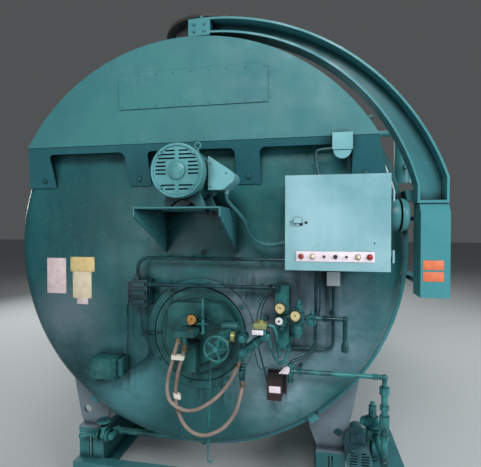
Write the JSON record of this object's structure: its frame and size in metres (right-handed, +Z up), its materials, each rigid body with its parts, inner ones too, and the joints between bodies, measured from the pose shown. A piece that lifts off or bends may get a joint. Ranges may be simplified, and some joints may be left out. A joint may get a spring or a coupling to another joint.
{
  "type": "industrial boiler",
  "caption": "Packaged firetube steam boiler on a skid, with a round front head that carries burner, fan motor and controls and swings open on a curved davit arm.",
  "frame": {"origin": "on the floor, below the joint between the front head and the boiler body, on the boiler's centre plane", "axes": "+X to the right of a person who faces the head, +Y along the boiler to its rear, +Z up"},
  "size_m": [2.672, 6.165, 3.225],
  "materials": {
    "teal_paint": "semi-gloss enamel, dusty and chipped",
    "pale_teal_paint": "semi-gloss enamel",
    "dark_teal_paint": "oily enamel",
    "dark_paint": "satin",
    "bare_steel": "dull, sooty",
    "bronze": "dull cast",
    "gauge_brass": "dull",
    "glass_tube": "clear",
    "refractory": "rough",
    "grey_plastic": "matte",
    "pale_plate": "bare plate, satin",
    "brown_enamel": "satin",
    "hose_braid": "braided sleeve"
  },
  "bodies": {
    "boiler": {"jacket": "teal_paint", "jacket_straps": "teal_paint", "body_rings": "teal_paint", "front_tube_sheet": "bare_steel", "furnace": "bare_steel", "rear_head": "teal_paint", "skid_beams": "teal_paint", "skid_crossmembers": "teal_paint", "front_saddles": "teal_paint", "rear_saddles": "teal_paint", "flue_outlet": "bare_steel", "steam_nozzle": "teal_paint", "safety_valves": "bronze", "manway": "teal_paint", "lifting_lugs": "teal_paint", "water_column": "teal_paint", "gauge_glass": "glass_tube", "davit_housing": "teal_paint", "pump_shelf": "teal_paint", "air_pump": "teal_paint", "fuel_regulator": "teal_paint", "fuel_riser": "teal_paint", "blowdown_valve": "teal_paint"},
    "front_head": {"head_ring": "teal_paint", "head_dish": "teal_paint", "head_lining": "refractory", "upper_casing": "teal_paint", "casing_apron": "teal_paint", "access_cover": "teal_paint", "fan_motor": "teal_paint", "motor_end_bell": "pale_teal_paint", "terminal_box": "pale_teal_paint", "motor_shelf": "teal_paint", "control_cabinet": "pale_teal_paint", "cabinet_brackets": "teal_paint", "limit_hood": "pale_teal_paint", "outlet_box": "grey_plastic", "burner_ring": "dark_teal_paint", "burner_cover": "dark_teal_paint", "burner_gun": "dark_teal_paint", "burner_gauge": "gauge_brass", "wheel_valve": "dark_teal_paint", "fuel_manifold": "dark_teal_paint", "air_regulators": "teal_paint", "air_line": "teal_paint", "fuel_line": "teal_paint", "ignition_transformer": "brown_enamel", "junction_box": "dark_paint", "conduits": "teal_paint", "air_switch": "teal_paint", "data_plates": "pale_plate", "davit_arm": "teal_paint", "fuel_hose_upper": "hose_braid", "fuel_hose_lower": "hose_braid", "motor_lead": "teal_paint"},
    "panel_door": {"cabinet_door": "pale_teal_paint", "indicator_panel": "pale_plate"},
    "valve_wheel": {"handwheel": "teal_paint"}
  },
  "joints": [
    {"name": "davit_swing", "type": "hinge", "parent": "boiler", "child": "front_head", "pos_m": [1.34, -0.2, 1.66], "axis": [0, 0, 1], "range_deg": [0, 100]},
    {"name": "cabinet_door_swing", "type": "hinge", "parent": "front_head", "child": "panel_door", "pos_m": [1.089, -0.485, 1.808], "axis": [0, 0, 1], "range_deg": [0, 110]},
    {"name": "handwheel_turn", "type": "hinge", "parent": "front_head", "child": "valve_wheel", "pos_m": [0.248, -0.58, 1.187], "axis": [0, 1, 0], "continuous": true}
  ]
}
